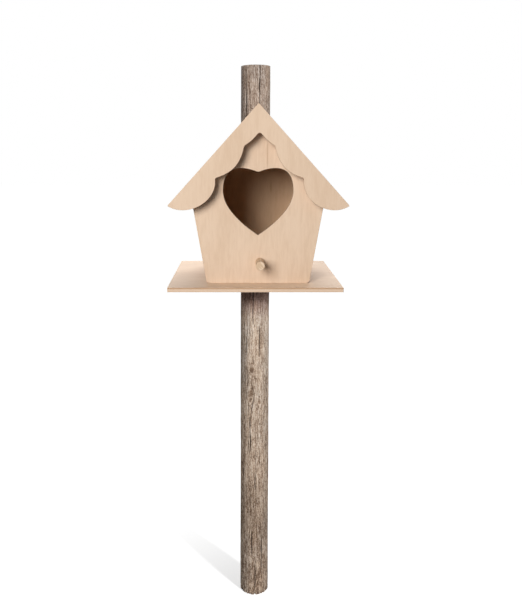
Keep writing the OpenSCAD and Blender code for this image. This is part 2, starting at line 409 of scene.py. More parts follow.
# %% Lamps
LAMP_AWAY = 2.2
WARM = (1.0, 0.985, 0.96)
house_middle = (0, -0.16, house_height + 0.09)
stake_middle = (0, 0, house_height * 0.6)
foot_middle = (0, 0, 0)


def lamp(name, target, turn, rise, wide, high, power, colour):
    """An area lamp that faces a target, turned to the right of the front and raised, in degrees."""
    data = bpy.data.lights.new(name, "AREA")
    data.shape = "RECTANGLE"
    data.size, data.size_y = wide, high
    data.energy = power
    data.color = colour
    made = bpy.data.objects.new(name, data)
    turn, rise = math.radians(turn), math.radians(rise)
    back = Vector((math.sin(turn) * math.cos(rise), -math.cos(turn) * math.cos(rise), math.sin(rise)))
    made.location = Vector(target) + back * LAMP_AWAY
    made.rotation_euler = back.to_track_quat("Z", "Y").to_euler()
    bpy.context.scene.collection.objects.link(made)
    return made


# Each lamp's target, turn, rise, width, height, power and colour.
LAMPS = {
    "house_lamp": (house_middle, -23.5, 16, 1.0, 1.15, 54, WARM),
    "stake_lamp": (stake_middle, 14, 21.3, 1.9, 0.3, 75, WARM),
    "board_lamp": (house_middle, 0, 45, 1.0, 1.0, 4.5, WARM),
    "right_lamp": (house_middle, 110, 28, 1.2, 1.2, 12, WHITE),
    "left_lamp": (stake_middle, -142, 15, 0.8, 0.8, 16, WHITE),
    "floor_lamp": (foot_middle, 37, 24, 0.20, 0.3, 41, WHITE),
    "back_lamp": (house_middle, 176, 40, 1.5, 1.5, 50, WHITE)}
lamps = {name: lamp(name, *facts) for name, facts in LAMPS.items()}
print("lamps", len(lamps))

# %% [markdown]
# ## Bare plywood
# The box is cut from thin birch ply: a pale, fine-grained face veneer over a core whose grain runs
# across, with a thin dark glue line between them that shows as a stripe along every sawn edge.
# A picture could be stretched over the boards, but it would not know where the edges are. Here each
# board carries its own coordinates instead: across the grain, along the grain, and how deep the point
# lies in the sheet. One recipe on those three numbers then draws face, plies and glue lines alike.

# %% The veneer
VENEER = (0.750, 0.576, 0.434)
VENEER_DARK = (0.665, 0.488, 0.350)
FLECK = (0.50, 0.31, 0.19)
STREAK = (0.42, 0.26, 0.16)
# Darker streaks of the front wall's veneer: how far right of the middle, lower and upper end, in metres.
STREAKS = [(0.0101, 0.607, 0.645), (0.0200, 0.572, 0.596)]
STREAK_COVER = 0.45
# How far aside a streak is still dark, how far aside it is gone, and over what length its ends fade.
STREAK_DARK, STREAK_OUT, STREAK_ENDS = 0.0003, 0.0013, 0.010


def streak_at(tree, place, right, low, high):
    """1 on a thin upright line of the veneer, fading to 0 at its sides and towards its ends."""
    aside = calc(tree, "ABSOLUTE", calc(tree, "SUBTRACT", place["X"], right))
    ends = band(tree, place["Z"], low, low + STREAK_ENDS, high - STREAK_ENDS, high)
    return product(tree, fall(tree, aside, STREAK_DARK, STREAK_OUT), ends)


def veneer(tree, where, place):
    """The face's colour, its fibres and its flecks: noises drawn out along the grain, from broad to fine."""
    broad = noise(tree, where, (24, 7, 24), detail=2, distort=0.8)
    fibre = noise(tree, where, (900, 40, 900), detail=4, rough=0.6, distort=0.2)
    streak = noise(tree, where, (190, 34, 190), rough=0.6, distort=0.9, shift=(3.7, 0, 0))
    hair = noise(tree, where, (480, 58, 480), rough=0.6, distort=0.5, shift=(9.2, 0, 0))
    fleck = noise(tree, where, (1400, 160, 1400), detail=2)
    tone = mixture(tree, (fade(tree, broad, 0.3, 0.7), 0.38), (fade(tree, streak, 0.35, 0.68), 0.26),
                   (fade(tree, hair, 0.35, 0.68), 0.22), (fibre, 0.14))
    face = blend(tree, fade(tree, tone, 0.10, 0.95, 0.0, 0.85), VENEER, VENEER_DARK)
    face = blend(tree, fade(tree, fleck, 0.62, 0.74, 0.0, 0.14), face, FLECK)
    for line in STREAKS:
        face = blend(tree, product(tree, streak_at(tree, place, *line), STREAK_COVER), face, STREAK)
    return face, fibre, fleck


print("veneer streaks", len(STREAKS))

# %% The plies
CORE = (0.715, 0.550, 0.420)
CORE_DARK = (0.60, 0.43, 0.30)
GLUE = (0.390, 0.205, 0.100)
# Distances from the middle of the sheet, in metres: where the core ends, and the glue line's fade in and out.
HALF_SHEET = wall_t / 2 * MM
CORE_END = (0.00155, 0.00175)
GLUE_LINE = (0.0005, 0.0014, 0.0022, 0.0024)
WOBBLE = 0.0004
# Depths in the sheet between which the glue line grows from its weak share to its strong one.
GLUE_GROWS = (0.002, 0.003, 0.15, 0.75)


def plies(tree, where, depth, face):
    """Face, core or glue line, by how far the point lies from the middle of the sheet, in metres.

    The plies wobble a little. The glue line nearer the far face is the stronger one.
    """
    end_grain = noise(tree, where, (700, 700, 1800), rough=0.6)
    core = blend(tree, fade(tree, end_grain, 0.35, 0.7, 0.0, 0.6), CORE, CORE_DARK)
    wobble = calc(tree, "SUBTRACT", noise(tree, where, (60, 60, 0), detail=2), 0.5)
    wobbled = calc(tree, "MULTIPLY_ADD", wobble, WOBBLE, depth)
    from_middle = calc(tree, "ABSOLUTE", calc(tree, "SUBTRACT", wobbled, HALF_SHEET))
    glue = product(tree, band(tree, from_middle, *GLUE_LINE), fade(tree, depth, *GLUE_GROWS))
    return blend(tree, glue, blend(tree, fall(tree, from_middle, *CORE_END), face, core), GLUE)


print("glue lines either side of", HALF_SHEET / MM, "mm")

# %% [markdown]
# The back wall's inner face, which shows through the heart, is tinted browner and darker than the others:
# painted shade for the dim inside of the box. So the recipe takes a tint for the sheet's first face. It also
# darkens the lowest part of the walls a little: painted shade against the light that the floor board throws
# up.

# %% Plywood material
WALL_FOOT_SHADE = (0.935, 0.94, 0.95)
INTERIOR_SHADE_TINT = (0.97, 0.86, 0.74)
# The first face by its depth in the sheet, and the painted shade at the walls' foot by its height above the
# floor board.
FIRST_FACE = (0.0010, 0.0012)
WALL_FOOT_SHADE_UP = (0.0001, 0.0003, 0.0003, 0.045)


def plywood_material(name, first_face=WHITE):
    """Veneer, plies and glue lines by depth; the sheet's first face takes a tint."""
    material, tree = new_material(name)
    where = own_vector(tree, "grain")
    depth = split(tree, where)["Z"]
    place = split(tree, object_place(tree))
    face, fibre, fleck = veneer(tree, where, place)
    face = tint(tree, fall(tree, depth, *FIRST_FACE), face, first_face)
    above = calc(tree, "SUBTRACT", place["Z"], floor_z * MM)
    # Painted shade: the walls are a little darker just above the floor board, to tone down the light that the
    # board throws up on them.
    face = tint(tree, band(tree, above, *WALL_FOOT_SHADE_UP), face, WALL_FOOT_SHADE)
    height = mixture(tree, (fibre, 0.6), (fleck, 0.4))
    colour = plies(tree, where, depth, face)
    finish_material(tree, colour, height, roughness=0.5, strength=0.12, distance=0.0002, specular=0.10)
    return material


birch_plywood = plywood_material("birch_plywood")
# Its first face takes painted shade: on the back wall that is the inner face, inside the dim box.
shaded_interior_plywood = plywood_material("shaded_interior_plywood", INTERIOR_SHADE_TINT)
print("made", birch_plywood.name, shaded_interior_plywood.name)

# %% [markdown]
# ## Outlines
# Every board is a flat outline cut from the sheet. Straight outlines are lists of corners; the heart
# and the scallops are cubic curves, each a blend of four control points. Sawn corners are never quite
# sharp, so each gets a short curve that takes a little of both its sides.

# %% Curves and softened corners
CURVE_STEPS = 40
CORNER_STEPS = 6
CORNER_PULL = 0.6
# How much further than its own radius a softened corner clears its two sides of points.
CLEAR = 1.02


def cubic(controls, steps=CURVE_STEPS):
    """Points between a cubic curve's ends: four controls, blended by (1-t)^3, 3(1-t)^2 t, 3(1-t)t^2, t^3."""
    t = np.linspace(0, 1, steps + 1)[1:-1, None]
    a, b, c, d = (np.asarray(control, float) for control in controls)
    return (1 - t) ** 3 * a + 3 * (1 - t) ** 2 * t * b + 3 * (1 - t) * t * t * c + t**3 * d


def softened(before, corner, after, r):
    """A corner as a curve that starts and ends r away from it and is pulled part of the way towards it."""
    before, corner, after = (np.asarray(v, float) for v in (before, corner, after))
    a = corner + r * (before - corner) / np.linalg.norm(before - corner)
    b = corner + r * (after - corner) / np.linalg.norm(after - corner)
    pulled = [a, a + (corner - a) * CORNER_PULL, b + (corner - b) * CORNER_PULL, b]
    return np.vstack([a, cubic(pulled, CORNER_STEPS), b])


def soft_polygon(points, r):
    """A closed outline of straight sides with every corner softened."""
    points = np.asarray(points, float)
    around = zip(np.roll(points, 1, 0), points, np.roll(points, -1, 0))
    return np.vstack([softened(*corner, r) for corner in around])


def clear_of(points, *corners):
    """The points that the softened corners, each given with its radius, don't replace."""
    keep = np.ones(len(points), bool)
    for corner, r in corners:
        keep &= np.linalg.norm(points - corner, axis=1) > r * CLEAR
    return points[keep]


print("a softened corner has", CORNER_STEPS + 1, "points")

# %% The whole outline from its halves, and the lines of roof and walls
ON_MIDDLE = 1e-9
SIDES = (("right", 1), ("left", -1))


def both_halves(right, left):
    """A half outline and the mirror image of another that starts at the same point.

    That point is there once, and so is one on the middle line, where the halves meet again.
    """
    image = left[:0:-1] * (-1, 1)
    return np.vstack([right, image[np.abs(image[:, 0]) > ON_MIDDLE]])


def roof_point(along, inward):
    """A point of the roof from its distance down the slope and its distance in, square to the slope."""
    c, s = math.cos(roof_slope), math.sin(roof_slope)
    return np.array([along * c - inward * s, ridge_z - along * s - inward * c])


def lean_x(inset, h):
    """Where a side wall's leaning line is at a height above the floor board, moved in square to the wall."""
    return house_w / 2 - inset / math.cos(wall_lean) + h * math.tan(wall_lean)


def lean_top(inset):
    """Height above the floor board at which that line meets the roof's underside."""
    t = math.tan(roof_slope)
    return (under_ridge_z - floor_z - lean_x(inset, 0) * t) / (1 + math.tan(wall_lean) * t)


print("eaves at x", round(lean_x(0, lean_top(0)), 1), "height", round(lean_top(0), 1))

# %% [markdown]
# ## From an outline to a board
# A board is its outline carried straight through the sheet's thickness. Seen in section, each edge is
# a short quarter circle where the arris was sanded, a straight sawn band, and a second quarter circle.
# So the surface is a grid: one parameter runs round the outline, the other runs over the section, and
# the two flat faces close it. The normals are worked out from the same formula, so the faces stay
# flat and the arrises catch the light.

# %% The edge of a board
ARRIS = 0.35
ARRIS_STEPS = 3


def outward(outline):
    """Unit normals of a closed anticlockwise outline: the chord between each point's neighbours, turned."""
    chord = np.roll(outline, -1, 0) - np.roll(outline, 1, 0)
    normal = np.stack([chord[:, 1], -chord[:, 0]], 1)
    return normal / np.linalg.norm(normal, axis=1, keepdims=True)


def anticlockwise(outline):
    """The outline, turned round where its area by the shoelace rule is negative."""
    x, y = outline.T
    area = np.sum(x * np.roll(y, -1) - np.roll(x, -1) * y)
    return outline if area > 0 else outline[::-1]


def section(thickness, soft):
    """The edge's section: inset, depth, and how far the normal turns from the front face to the back one."""
    turn = np.linspace(0, math.pi / 2, ARRIS_STEPS + 1)
    inset = soft * (1 - np.sin(turn))
    depth = soft * (1 - np.cos(turn))
    inset = np.concatenate([inset, inset[::-1]])
    depth = np.concatenate([depth, thickness - depth[::-1]])
    return inset, depth, np.concatenate([turn, math.pi - turn[::-1]])


def rings(outline, normals, thickness, soft):
    """Grid of points and normals, rings x points x 3, of an edge: point - inset * normal, at each depth."""
    inset, depth, turn = section(thickness, soft)
    flat = outline[None] - inset[:, None, None] * normals[None]
    places = np.concatenate([flat, np.broadcast_to(depth[:, None, None], (*flat.shape[:2], 1))], 2)
    facing = np.sin(turn)[:, None, None] * normals[None]
    through = np.broadcast_to(-np.cos(turn)[:, None, None], (*facing.shape[:2], 1))
    return places, np.concatenate([facing, through], 2)


print("section points", len(section(wall_t, ARRIS)[0]))

# %% Faces of a grid
def ring_faces(first, count, rows):
    """Quads of a grid of rows x count points that is closed round its rows."""
    i, j = np.meshgrid(np.arange(rows - 1), np.arange(count), indexing="ij")
    k = (j + 1) % count
    quads = np.stack([i * count + j, (i + 1) * count + j, (i + 1) * count + k, i * count + k], 2)
    return (first + quads).reshape(-1, 4)


def plain_faces(count, rows):
    """A board's edge and its two flat faces, each of them one polygon."""
    last = (rows - 1) * count
    return [*ring_faces(0, count, rows).tolist(), [*range(count)], [*range(last, last + count)][::-1]]


def holed_faces(count, rows):
    """A board's edge, its hole's edge after it, and the two flat faces as rings of quads between them."""
    start, last = rows * count, (rows - 1) * count
    a = np.arange(count)
    b = (a + 1) % count
    front = np.stack([a, b, start + b, start + a], 1)
    back = np.stack([last + b, last + a, start + last + a, start + last + b], 1)
    return np.vstack([
        ring_faces(0, count, rows), ring_faces(start, count, rows)[:, ::-1], front, back]).tolist()


def fanned_faces(count, rows):
    """A tube's side, and a fan of triangles at each end to its end point: the two come after the grid."""
    start, last = rows * count, (rows - 1) * count
    a = np.arange(count)
    b = (a + 1) % count
    near = np.stack([np.full(count, start), a, b], 1)
    far = np.stack([np.full(count, start + 1), last + b, last + a], 1)
    return ring_faces(0, count, rows).tolist() + near.tolist() + far.tolist()


print("a board with three corners has", len(plain_faces(3, 2)), "faces")

# %% Putting a piece into the scene
def put_mesh(name, places, faces, material, normals=None):
    """A mesh piece from whole arrays: places in metres, faces as index lists, one normal a point."""
    mesh = bpy.data.meshes.new(name)
    mesh.from_pydata(places.tolist(), [], faces)
    mesh.shade_smooth()
    mesh.validate()
    if normals is not None:
        mesh.normals_split_custom_set_from_vertices(normals.tolist())
    mesh.materials.append(material)
    piece = bpy.data.objects.new(name, mesh)
    bpy.context.scene.collection.objects.link(piece)
    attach(piece, "root")
    return piece


def put_vectors(piece, name, vectors):
    """Writes one vector a point into a named attribute, in one call."""
    attribute = piece.data.attributes.new(name, "FLOAT_VECTOR", "POINT")
    attribute.data.foreach_set("vector", np.asarray(vectors, np.float32).ravel())


def box_mm(node):
    """A CAD node's lowest and highest corners, in millimetres."""
    return [np.array(corner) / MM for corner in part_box(node)]


def stands_for(piece, node):
    """Hides a CAD node behind its piece, and prints how far their boxes differ."""
    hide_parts(node)
    place = np.empty(len(piece.data.vertices) * 3)
    piece.data.vertices.foreach_get("co", place)
    place = place.reshape(-1, 3) / MM
    low, high = box_mm(node)
    off = max(np.abs(place.min(0) - low).max(), np.abs(place.max(0) - high).max())
    print(f"{piece.name}: {len(place)} points, box within {off:.2f} mm")


print("mesh helpers ready")

# %% The board helper
def board(name, outline, near, far, axes, sheet, material, hole=None, soft=ARRIS):
    """An outline carried from near to far. axes are the outline's two directions and the way through.

    sheet is (origin, across, along, through): where the sheet's own coordinates start and how they run.
    A hole has as many points as the outline, and the faces are then rings between the two.
    """
    outline = anticlockwise(np.asarray(outline, float))
    edges = [rings(outline, outward(outline), far - near, soft)]
    if hole is not None:
        edges.append(rings(hole, -outward(hole), far - near, soft))
    rows, count = edges[0][0].shape[:2]
    faces = plain_faces(count, rows) if hole is None else holed_faces(count, rows)
    local, ways = (np.vstack([part.reshape(-1, 3) for part in parts]) for parts in zip(*edges))
    basis = np.array(axes, float)
    places = (local + (0, 0, near)) @ basis * MM
    if np.linalg.det(basis) > 0:
        faces = [face[::-1] for face in faces]
    piece = put_mesh(name, places, faces, material, ways @ basis)
    origin, *directions = (np.asarray(v, float) for v in sheet)
    put_vectors(piece, "grain", (places - origin * MM) @ np.stack(directions, 1))
    return piece


X, Y, Z = np.eye(3)
UPRIGHT = (X, Z, Y)
# How far off each board was cut out of the sheets, in millimetres: each shows veneer of its own.
CUT_AT = {"front_wall": 0, "back_wall": 470, "bargeboard": 333, "right_wall": 1200, "left_wall": 600,
          "right_roof_board": 2100, "left_roof_board": 1300, "floor_board": 0}
print("boards cut from the sheet", len(CUT_AT))

# %% [markdown]
# ## The walls
# Both gables share one outline: a flat foot, sides that lean outward, and a top cut to the roof's
# slopes. The heart is cut through the front one with a scroll saw. Seen from a point inside the
# heart, both the heart and the gable are hit once in every direction, so each outline point is paired
# with the heart's point in the same direction and the face is drawn as the ring between the two.

# %% The gable's outline
EAVE_R = 0.6
SIDE_STEPS, TOP_STEPS = 40, 70


def gable():
    """The gable's outline, with softened corners and short steps along its straight sides."""
    middle = np.array([0.0, floor_z])
    foot = np.array([lean_x(0, 0), floor_z])
    eave = np.array([lean_x(0, lean_top(0)), floor_z + lean_top(0)])
    apex = np.array([0.0, under_ridge_z])
    above_foot = foot + corner_r * (eave - foot) / np.linalg.norm(eave - foot)
    half = np.vstack([
        np.linspace(middle, foot - (corner_r, 0), SIDE_STEPS)[:-1],
        softened(middle, foot, eave, corner_r),
        np.linspace(above_foot, eave, SIDE_STEPS)[1:-1],
        softened(foot, eave, apex, EAVE_R),
        np.linspace(eave, apex, TOP_STEPS)[2:-1],
        [apex]])
    return anticlockwise(both_halves(half, half))


gable_outline = gable()
print("gable", len(gable_outline), "points")

# %% The heart
HEART_STEPS = 200
# Its curves: shares of half the width outward and of the height up or down, from cleft, side and point.
LOBE_OUT = 0.53
LOBE_UP = 0.11
WIDEST_UP = 0.66
SHOULDER_UP = 0.37
FLANK_DOWN = 0.27
POINT_OUT = 0.38
POINT_UP = 0.13
# How high up the heart the point lies from which every direction meets its edge once.
MIDDLE_UP = 0.6


def heart():
    """The heart's right half: one curve from the cleft over the lobe, one down the flank to the point."""
    half = heart_w / 2
    point = np.array([0, floor_z + heart_z])
    widest = point + (half, heart_h * WIDEST_UP)
    cleft = point + (0, heart_h - heart_cleft)
    over_cleft = cleft + (half * LOBE_OUT, heart_h * LOBE_UP)
    beside_point = point + (half * POINT_OUT, heart_h * POINT_UP)
    lobe = cubic([cleft, over_cleft, widest + (0, heart_h * SHOULDER_UP), widest], HEART_STEPS)
    flank = cubic([widest, widest - (0, heart_h * FLANK_DOWN), beside_point, point], HEART_STEPS)
    return np.vstack([cleft, lobe, widest, flank, point])


def heart_towards(outline):
    """The heart's point in the direction of each outline point, looked up by angle from inside the heart."""
    middle = np.array([0, floor_z + heart_z + heart_h * MIDDLE_UP])
    right = heart() - middle
    angle = np.arctan2(right[:, 1], np.abs(right[:, 0]))[::-1]
    reach = np.linalg.norm(right, axis=1)[::-1]
    way = outline - middle
    r = np.interp(np.arctan2(way[:, 1], np.abs(way[:, 0])), angle, reach)
    return middle + way / np.linalg.norm(way, axis=1, keepdims=True) * r[:, None]


heart_hole = heart_towards(gable_outline)
print("heart", np.round(np.ptp(heart_hole, axis=0), 1), "mm")

# %% The gables
def upright_board(name, node, outline, material, **more):
    """A board that faces the front, as deep as its node, with the sheet's grain upright."""
    low, high = box_mm(node)
    sheet = ((CUT_AT[node], low[1], 0), X, Z, Y)
    stands_for(board(name, outline, low[1], high[1], UPRIGHT, sheet, material, **more), node)


upright_board("front_gable", "front_wall", gable_outline, birch_plywood, hole=heart_hole)
# The back wall's inner face takes painted shade for the dim inside of the box.
upright_board("back_gable", "back_wall", gable_outline, shaded_interior_plywood)

# %% [markdown]
# The sides lean outward between the gables. Their lower ends are bevelled to sit flat on the floor
# board and their upper ends to fit under the roof, so the outline is drawn looking along the house,
# and it is carried from gable to gable.

# %% The side walls
WALL_R = 0.5


def leaning(outer, inner, r):
    """The section of a board that leans with the sides, between two distances in from their outer face."""
    return soft_polygon([
        (lean_x(outer, 0), floor_z),
        (lean_x(outer, lean_top(outer)), floor_z + lean_top(outer)),
        (lean_x(inner, lean_top(inner)), floor_z + lean_top(inner)),
        (lean_x(inner, 0), floor_z)], r)


side_axis = np.array([math.sin(wall_lean), 0, math.cos(wall_lean)])
side_inward = np.array([-math.cos(wall_lean), 0, math.sin(wall_lean)])
for side, flip in SIDES:
    node = side + "_wall"
    low, high = box_mm(node)
    mirror = np.array([flip, 1, 1])
    sheet = ((flip * house_w / 2, CUT_AT[node], floor_z), Y, side_axis * mirror, side_inward * mirror)
    outline = leaning(0, wall_t, WALL_R) * (flip, 1)
    piece = board(side + "_side", outline, low[1], high[1], UPRIGHT, sheet, birch_plywood)
    stands_for(piece, node)

# %% [markdown]
# ## The floor board
# A square of the same sheet, let in round the stake from its back edge: the notch is a half circle
# that runs out to the edge in two straight sides. Its outline is drawn from above, and its grain runs
# from side to side.

# %% The floor board
BOARD_R = 1.0
MOUTH_R = 0.8
BOARD_ARRIS = 0.3
NOTCH_STEPS = 60


def floor_outline(left, front, right, back):
    """The rectangle's softened corners, and at the back the notch: two softened ones and a half circle."""
    notch = post_r + notch_gap
    turn = np.linspace(2 * math.pi, math.pi, NOTCH_STEPS + 1)
    return np.vstack([
        softened((left, back), (left, front), (right, front), BOARD_R),
        softened((left, front), (right, front), (right, back), BOARD_R),
        softened((right, front), (right, back), (notch, back), BOARD_R),
        softened((right, back), (notch, back), (notch, 0), MOUTH_R),
        np.stack([notch * np.cos(turn), notch * np.sin(turn)], 1),
        softened((-notch, 0), (-notch, back), (left, back), MOUTH_R),
        softened((-notch, back), (left, back), (left, front), BOARD_R)])


low, high = box_mm("floor_board")
sheet = ((CUT_AT["floor_board"], 0, low[2]), Y, X, Z)
floor_board = board("floor_plate", floor_outline(*low[:2], *high[:2]), low[2], high[2], (X, Y, Z),
                    sheet, birch_plywood, soft=BOARD_ARRIS)
stands_for(floor_board, "floor_board")

# %% [markdown]
# ## The roof
# Two slopes meet in a mitre at the ridge. They cover the walls' tops and run forward to the
# bargeboard, which hides their front ends. Each is its own section, carried from front to back, so
# that the mitre is cut by the outline and no two boards have to be fitted together.

# %% The roof boards
ROOF_R = 0.4


def slope(upper, lower, length):
    """The section of a board that follows the right-hand slope, between two depths below its top face."""
    c = math.cos(roof_slope)
    return soft_polygon([
        (0, ridge_z - upper / c), roof_point(length, upper),
        roof_point(length, lower), (0, ridge_z - lower / c)], ROOF_R)


down_slope = np.array([math.cos(roof_slope), 0, -math.sin(roof_slope)])
into_slope = np.array([-math.sin(roof_slope), 0, -math.cos(roof_slope)])
for side, flip in SIDES:
    node = side + "_roof_board"
    low, high = box_mm(node)
    mirror = np.array([flip, 1, 1])
    sheet = ((0, CUT_AT[node], ridge_z), down_slope * mirror, Y, into_slope * mirror)
    outline = slope(0, roof_t, slope_l - eave_setback) * (flip, 1)
    piece = board(side + "_slope", outline, low[1], high[1], UPRIGHT, sheet, birch_plywood)
    stands_for(piece, node)

# %% [markdown]
# ## The bargeboard
# The show piece of the house: one inverted V whose lower edge swings in three scallops a side. Each
# scallop is a cubic curve between two notches. The last one is deeper and runs out into the tip. Both
# halves come from one function. They only differ by a small shift, because the scallops were sawn a
# little to the right.

# %% The bargeboard
RIDGE_R = 0.4
# Its curves: how far along the slope and down from it the controls lie, as shares of length and bulge.
CROWN_BACK = 0.26
CROWN_DOWN = 0.57
SWELL_ALONG = 0.367
SWELL_DOWN = 1.33
LAST_DOWN = 2.05
TIP_BACK = 0.08
TIP_DOWN = 0.69


def bargeboard_half(shift):
    """From the rounded crotch along the scallops, which the shift moves aside, to the tip and the ridge."""
    aside = np.array([shift, 0])
    second_l = crown_l + scallop_l
    swell = SWELL_ALONG * scallop_l
    middle_depth = trim_band + SWELL_DOWN * scallop_bulge
    last_bulge = scallop_bulge + tip_bulge
    apex, tip = np.array([0, ridge_z]), roof_point(slope_l, 0)
    crotch = apex - (0, apex_band) + aside
    notch_1, notch_2 = (roof_point(along, trim_band) + aside for along in (crown_l, second_l))
    crown_end = roof_point(crown_l * (1 - CROWN_BACK), trim_band + CROWN_DOWN * scallop_bulge) + aside
    first = cubic([crotch, crotch + (crotch_half, 0), crown_end, notch_1])
    middle = cubic([
        notch_1, roof_point(crown_l + swell, middle_depth) + aside,
        roof_point(second_l - swell, middle_depth) + aside, notch_2])
    last = cubic([
        notch_2, roof_point(second_l + swell, trim_band + LAST_DOWN * last_bulge) + aside,
        roof_point(slope_l - TIP_BACK * scallop_l, trim_band + TIP_DOWN * last_bulge), tip])
    first = clear_of(first, (notch_1, notch_r))
    middle = clear_of(middle, (notch_1, notch_r), (notch_2, notch_r))
    last = clear_of(last, (notch_2, notch_r), (tip, tip_r))
    half_ridge = softened(tip, apex, tip * (-1, 1), RIDGE_R)[:CORNER_STEPS // 2 + 1]
    return np.vstack([
        crotch, first, softened(first[-1], notch_1, middle[0], notch_r),
        middle, softened(middle[-1], notch_2, last[0], notch_r),
        last, softened(last[-1], tip, apex, tip_r), half_ridge])


trim_outline = both_halves(bargeboard_half(scallop_shift), bargeboard_half(-scallop_shift))
upright_board("scalloped_bargeboard", "bargeboard", trim_outline, birch_plywood)

# %% [markdown]
# ## The stake
# An old stake is not a plain cylinder. Sun and rain wear the soft wood away between the harder
# fibres, long checks open as it dries, and the grain swings aside to pass each knot. Sculpting all
# that by hand would be slow and hard to change. Here the surface is one function of the angle round
# the stake and the height on it: a radius, less the depth of the fibres, checks and knots there.
# The flow round a knot is a formula too. It says where each point would lie if the grain ran
# straight, and both the carved fibres and the painted ones are then drawn on that straight wood.

# %% The straight wood behind the knots
FRONT, BACK = -math.pi / 2, math.pi / 2
# Each knot: its side of the stake, how far right of that side's middle it is, its height, its radius.
KNOTS = [
    (FRONT, -6.0, 299.0, 4.2), (FRONT, 6.4, 290.0, 2.6), (FRONT, -4.8, 337.0, 3.6), (FRONT, 1.6, 321.0, 1.7),
    (FRONT, 8.5, 246.0, 2.6), (FRONT, -9.0, 118.0, 3.4), (FRONT, 9.5, 655.0, 2.8), (FRONT, -2.0, 520.0, 3.0),
    (BACK, 4.0, 560.0, 5.0), (BACK, -7.0, 210.0, 4.4), (BACK, 9.0, 400.0, 2.6)]
# Heights count less than ways round, because knots and the flow round them are taller than wide.
KNOT_SQUEEZE = 0.75
FLOW_SQUEEZE = 0.42
# How far the flow reaches, in radii of its knot.
FLOW_REACH = 1.7


def arc_from(turn, middle):
    """The way round the stake's surface from a middle angle, in mm, never more than half way round."""
    return post_r * ((turn - middle + math.pi) % (2 * math.pi) - math.pi)


def straightened(turn, z):
    """Angle on the straight wood, how much a knot rules there, and the way from its middle in its radii.

    Near a knot the way round, s, becomes s * (1 - e^-(d/a)^2), where d is the distance with the height
    squeezed and a the flow's reach: the lines of the grain bulge apart at the knot and close again.
    """
    bent = np.array(turn)
    strength, rings_at = np.zeros_like(turn), np.zeros_like(turn)
    for side, right, height, radius in KNOTS:
        s = arc_from(turn, side + math.asin(right / post_r))
        d = np.hypot(s, (z - height) * FLOW_SQUEEZE)
        bent -= s * np.exp(-((d / (FLOW_REACH * radius)) ** 2)) / post_r
        in_radii = np.hypot(s, (z - height) * KNOT_SQUEEZE) / radius
        near = np.exp(-(in_radii**4))
        rings_at = np.where(near > strength, in_radii, rings_at)
        strength = np.maximum(strength, near)
    return bent, strength, rings_at


print("knots", len(KNOTS))

# %% [markdown]
# The fibres themselves are random, but the surface has to close where the angle comes round again.
# A sum of cosines does both: each has a whole number of waves round the stake and a long wave up it.

# %% Fibres
dice = np.random.default_rng(23)


def waves(turn, z, count, fewest, most, length):
    """A sum of cosines with a spread of 1.

    Each has a whole number of waves round the stake, and up it a wave of about the given length.
    """
    total = np.zeros(np.broadcast(turn, z).shape)
    around = dice.integers(fewest, most, count)
    along = dice.normal(0, 2 * math.pi / length, count)
    start = dice.uniform(0, 2 * math.pi, count)
    for a, b, c in zip(around, along, start):
        total += np.cos(a * turn + b * z + c)
    return total / math.sqrt(count / 2)


print("fibres ready")

# %% [markdown]
# Checks are the cracks that open as round wood dries. They start and end as a hair, are widest half
# way, and follow the grain without being quite straight. The long ones have places of their own, and
# many small ones are left to chance.

# %% Checks
# The main checks: angle from the front towards the right, in degrees, height of the middle, length.
CHECKS = [
    (-42, 694, 140), (16, 715, 76), (40, 664, 64), (-9, 432, 76), (18, 374, 48), (-37, 373, 40),
    (-20, 241, 56), (-58, 186, 32), (2, 172, 30), (-12, 80, 44), (31, 60, 64), (2, 27, 46), (58, 300, 90),
    (72, 150, 110), (84, 460, 130), (105, 620, 120), (128, 250, 150), (150, 520, 110), (165, 90, 100),
    (180, 660, 120), (196, 330, 130), (215, 140, 90), (232, 560, 140), (250, 400, 80), (268, 240, 120),
    (282, 620, 70)]
CHECK_HALF, CHECK_DEPTH = 0.7, 2.0
# The small ones: how many, and the least and greatest length, half width and depth.
SMALL_CHECKS = 70
SMALL_LENGTH = (15, 70)
SMALL_HALF = (0.3, 0.6)
SMALL_DEPTH = (0.6, 1.4)
# A check is this share of its width at its very ends.
NARROWEST = 0.3
# It strays by two waves: how far aside, the height over which the wave's angle grows by a radian, both
# in mm, and by how many radians the waves of two checks differ for each radian between the checks.
STRAYS = ((0.25, 9.0, 40), (0.15, 3.7, 17))


def all_checks():
    """Angle, lower and upper end, half width and depth of each check: the main ones, then the chance ones."""
    made = [(math.radians(angle - 90), middle - length / 2, middle + length / 2, CHECK_HALF, CHECK_DEPTH)
            for angle, middle, length in CHECKS]
    for _ in range(SMALL_CHECKS):
        low = dice.uniform(0, post_top)
        turn = dice.uniform(-math.pi, math.pi)
        high = low + dice.uniform(*SMALL_LENGTH)
        made.append((turn, low, high, dice.uniform(*SMALL_HALF), dice.uniform(*SMALL_DEPTH)))
    return made


def check_depth(turn, z):
    """Depth of the checks: 1 - (way across / half width)^2, less towards the ends, on a wandering line."""
    total = np.zeros_like(turn)
    for middle, low, high, half, depth in all_checks():
        up = np.clip((z - low) / (high - low), 0, 1)
        open_by = np.sqrt(np.clip(4 * up * (1 - up), 0, 1))
        wander = sum(aside * np.sin(z / up_by + apart * middle) for aside, up_by, apart in STRAYS)
        across = (arc_from(turn, middle) + wander) / (half * np.maximum(open_by, NARROWEST))
        total = np.maximum(total, depth * open_by * np.clip(1 - across**2, 0, 1))
    return total


print("checks", len(CHECKS), "main and", SMALL_CHECKS, "small")

# %% [markdown]
# Now the surface: rows of points round the stake, closer together where most knots are. The sawn top
# and the foot are carried on as rings that run in to the middle, so that the mesh is closed.

